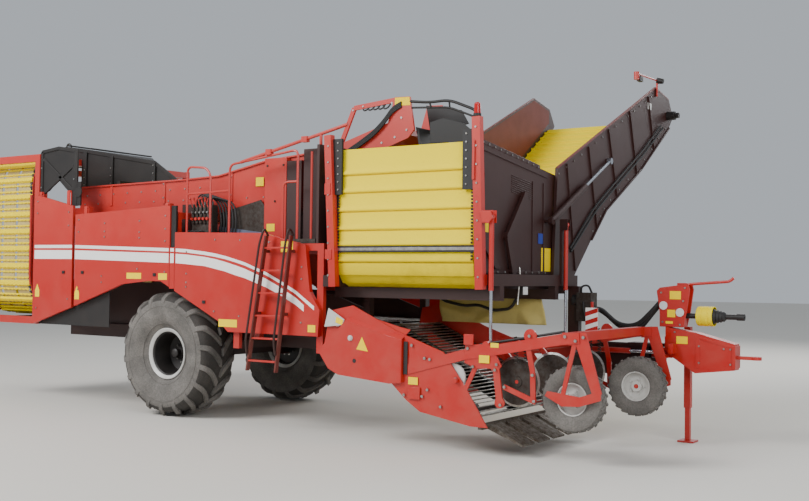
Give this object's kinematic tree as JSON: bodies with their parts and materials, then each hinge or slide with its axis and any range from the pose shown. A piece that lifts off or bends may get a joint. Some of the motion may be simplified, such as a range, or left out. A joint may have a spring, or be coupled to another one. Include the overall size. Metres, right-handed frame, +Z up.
{
  "type": "trailed potato harvester with side-unloading bunker",
  "caption": "Trailed side-lifting root crop harvester with a slatted bunker, raised discharge boom, ring elevator, picking table, lifting intake and steered wheels.",
  "frame": {"origin": "bottom centre of the whole machine, on the ground", "axes": "+X forwards to the tow eye, +Y to the left where the boom unloads, +Z up"},
  "size_m": [11.9998, 6.42, 5.125],
  "materials": {
    "red_paint": "satin",
    "maroon_paint": "satin",
    "black_paint": "satin",
    "yellow_plastic": "ribbed",
    "black_rubber": "matt",
    "tyre": "dusty",
    "silver_paint": "satin",
    "bright_steel": "worn",
    "dark_steel": "worn",
    "chrome": "bright",
    "lamp": "clear"
  },
  "bodies": {
    "chassis": {"chassis_frame": "maroon_paint", "cross_members": "maroon_paint", "axle_beam": "maroon_paint", "body_frame": "red_paint", "rear_cage": "red_paint", "ring_elevator": "yellow_plastic", "ring_corners": "yellow_plastic", "ring_carriers": "red_paint", "main_channel": "maroon_paint", "main_web": "bright_steel", "separator_rollers": "yellow_plastic", "picking_walls": "red_paint", "picking_web": "yellow_plastic", "rear_hood": "black_paint", "front_panels": "red_paint", "platform": "dark_steel", "gate_wall": "maroon_paint", "ladder": "red_paint", "handrails": "black_paint", "valve_block": "dark_steel", "bunker_base": "maroon_paint", "bunker_front_wall": "maroon_paint", "bunker_rear_wall": "maroon_paint", "bunker_web": "yellow_plastic", "bunker_posts": "red_paint", "bunker_flaps": "black_rubber", "lamps": "lamp", "yellow_apron": "yellow_plastic"},
    "rear_door_right": {"rear_door_right": "red_paint"},
    "rear_door_left": {"rear_door_left": "red_paint"},
    "mid_door_right": {"mid_door_right": "red_paint"},
    "mid_door_left": {"mid_door_left": "red_paint"},
    "knuckle_left": {"knuckle_left": "dark_steel"},
    "knuckle_right": {"knuckle_right": "dark_steel"},
    "tie_rod": {"tie_rod": "dark_steel"},
    "wheel_left": {"tyre_left": "tyre", "rim_left": "silver_paint"},
    "wheel_right": {"tyre_right": "tyre", "rim_right": "silver_paint"},
    "boom": {"boom_walls": "maroon_paint", "boom_web": "yellow_plastic", "camera_arm": "red_paint"},
    "boom_barrel": {"boom_barrel": "red_paint"},
    "boom_rod": {"boom_rod": "chrome"},
    "filling_conveyor": {"filling_conveyor": "red_paint"},
    "intake": {"intake_frame": "red_paint", "intake_web": "bright_steel", "share_blades": "dark_steel", "drive_cover": "red_paint"},
    "coulters": {"coulter_discs": "bright_steel"},
    "depth_wheels": {"depth_tyres": "tyre", "depth_rims": "silver_paint"},
    "lift_barrels": {"lift_barrels": "red_paint"},
    "lift_rods": {"lift_rods": "chrome"},
    "drawbar": {"drawbar": "red_paint", "hose_tower": "red_paint", "input_shaft": "black_paint", "shaft_guard": "yellow_plastic"},
    "steer_barrel": {"steer_barrel": "red_paint"},
    "steer_rod": {"steer_rod": "chrome"}
  },
  "joints": [
    {"name": "steer_left", "type": "hinge", "parent": "chassis", "child": "knuckle_left", "pos_m": [-1.62, -0.4, 0.875], "axis": [0, 0, 1], "range_deg": [-12, 12]},
    {"name": "steer_right", "type": "hinge", "parent": "chassis", "child": "knuckle_right", "pos_m": [-1.62, -2.42, 0.875], "axis": [0, 0, 1], "range_deg": [-12, 12]},
    {"name": "tie_rod_shift", "type": "slide", "parent": "chassis", "child": "tie_rod", "axis": [0, 1, 0], "range_m": [-0.06, 0.06]},
    {"name": "wheel_left_spin", "type": "hinge", "parent": "knuckle_left", "child": "wheel_left", "pos_m": [-1.62, -0.14, 0.875], "axis": [0, 1, 0], "continuous": true},
    {"name": "wheel_right_spin", "type": "hinge", "parent": "knuckle_right", "child": "wheel_right", "pos_m": [-1.62, -2.68, 0.875], "axis": [0, 1, 0], "continuous": true},
    {"name": "rear_door_right_lift", "type": "hinge", "parent": "chassis", "child": "rear_door_right", "pos_m": [-3.92, -3.01, 3.215], "axis": [-1, 0, 0], "range_deg": [0, 80]},
    {"name": "rear_door_left_lift", "type": "hinge", "parent": "chassis", "child": "rear_door_left", "pos_m": [-3.92, 0.19, 3.215], "axis": [1, 0, 0], "range_deg": [0, 80]},
    {"name": "mid_door_right_lift", "type": "hinge", "parent": "chassis", "child": "mid_door_right", "pos_m": [-2.42, -3.01, 2.965], "axis": [-1, 0, 0], "range_deg": [0, 80]},
    {"name": "mid_door_left_lift", "type": "hinge", "parent": "chassis", "child": "mid_door_left", "pos_m": [-2.42, 0.19, 2.965], "axis": [1, 0, 0], "range_deg": [0, 80]},
    {"name": "boom_lift", "type": "hinge", "parent": "chassis", "child": "boom", "pos_m": [2.42, -0.96, 1.95], "axis": [1, 0, 0], "range_deg": [-30, 12]},
    {"name": "boom_barrel_swing", "type": "hinge", "parent": "chassis", "child": "boom_barrel", "pos_m": [3.54, -1.31, 2.72], "axis": [1, 0, 0], "range_deg": [-30, 13]},
    {"name": "boom_rod_slide", "type": "slide", "parent": "boom_barrel", "child": "boom_rod", "axis": [0, 0.8915, 0.453], "range_m": [-0.19, 0.45]},
    {"name": "filling_lower", "type": "hinge", "parent": "chassis", "child": "filling_conveyor", "pos_m": [0.86, -2.01, 3.42], "axis": [0, -1, 0], "range_deg": [-15, 0]},
    {"name": "intake_lift", "type": "hinge", "parent": "chassis", "child": "intake", "pos_m": [1.53, -2.11, 1.15], "axis": [0, -1, 0], "range_deg": [-6, 6]},
    {"name": "coulter_spin", "type": "hinge", "parent": "intake", "child": "coulters", "pos_m": [3.97, -2.11, 0.85], "axis": [0, 1, 0], "continuous": true},
    {"name": "depth_wheel_spin", "type": "hinge", "parent": "intake", "child": "depth_wheels", "pos_m": [4.66, -2.11, 0.71], "axis": [0, 1, 0], "continuous": true},
    {"name": "lift_barrel_swing", "type": "hinge", "parent": "chassis", "child": "lift_barrels", "pos_m": [3.655, -2.11, 2.68], "axis": [0, -1, 0], "range_deg": [-0.5, 0.5]},
    {"name": "lift_rod_slide", "type": "slide", "parent": "lift_barrels", "child": "lift_rods", "axis": [0, 0, 1], "range_m": [-0.24, 0.23]},
    {"name": "drawbar_swing", "type": "hinge", "parent": "chassis", "child": "drawbar", "pos_m": [4.73, -0.73, 1.1], "axis": [0, 0, 1], "range_deg": [-20, 20]},
    {"name": "steer_barrel_swing", "type": "hinge", "parent": "chassis", "child": "steer_barrel", "pos_m": [3.73, -0.91, 1.1], "axis": [0, 0, 1], "range_deg": [-3, 3]},
    {"name": "steer_rod_slide", "type": "slide", "parent": "steer_barrel", "child": "steer_rod", "axis": [1, 0, 0], "range_m": [-0.08, 0.08]}
  ],
  "couplings": [
    {"joint": "steer_right", "follows": "steer_left", "ratio": 1},
    {"joint": "tie_rod_shift", "follows": "steer_left", "m_per_rad": -0.25},
    {"joint": "boom_barrel_swing", "follows": "boom_lift", "ratio": 0.95},
    {"joint": "boom_rod_slide", "follows": "boom_lift", "m_per_rad": -0.82},
    {"joint": "lift_barrel_swing", "follows": "intake_lift", "ratio": -0.07},
    {"joint": "lift_rod_slide", "follows": "intake_lift", "m_per_rad": 2.11},
    {"joint": "steer_barrel_swing", "follows": "drawbar_swing", "ratio": 0.13},
    {"joint": "steer_rod_slide", "follows": "drawbar_swing", "m_per_rad": 0.18}
  ]
}
